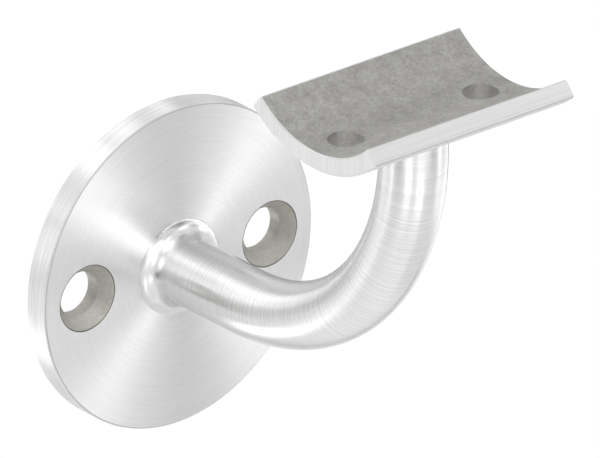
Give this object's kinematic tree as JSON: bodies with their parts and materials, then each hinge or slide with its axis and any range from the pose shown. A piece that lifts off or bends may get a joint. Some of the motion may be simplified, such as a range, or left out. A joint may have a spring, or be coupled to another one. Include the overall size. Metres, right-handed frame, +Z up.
{
  "type": "handrail bracket",
  "caption": "Wall bracket for a round handrail: a round plate with countersunk screw holes, a round bar bent up through a right angle, and a curved saddle with screw holes.",
  "frame": {"origin": "centre of the wall plate's back face, which lies on the wall", "axes": "+Y into the wall, +Z up, X along the rail; the arm leaves the plate along -Y"},
  "size_m": [0.06, 0.0843, 0.0861],
  "materials": {
    "turned_steel": "face turned in fine rings, satin",
    "brushed_bar": "brushed around the bar, satin",
    "saddle_steel": "ground edges, mill finish inside",
    "polished_weld": "dressed and polished"
  },
  "bodies": {
    "root": {"wall_plate": "turned_steel", "arm": "brushed_bar", "saddle": "saddle_steel", "wall_weld": "polished_weld", "saddle_weld": "polished_weld"}
  },
  "joints": []
}
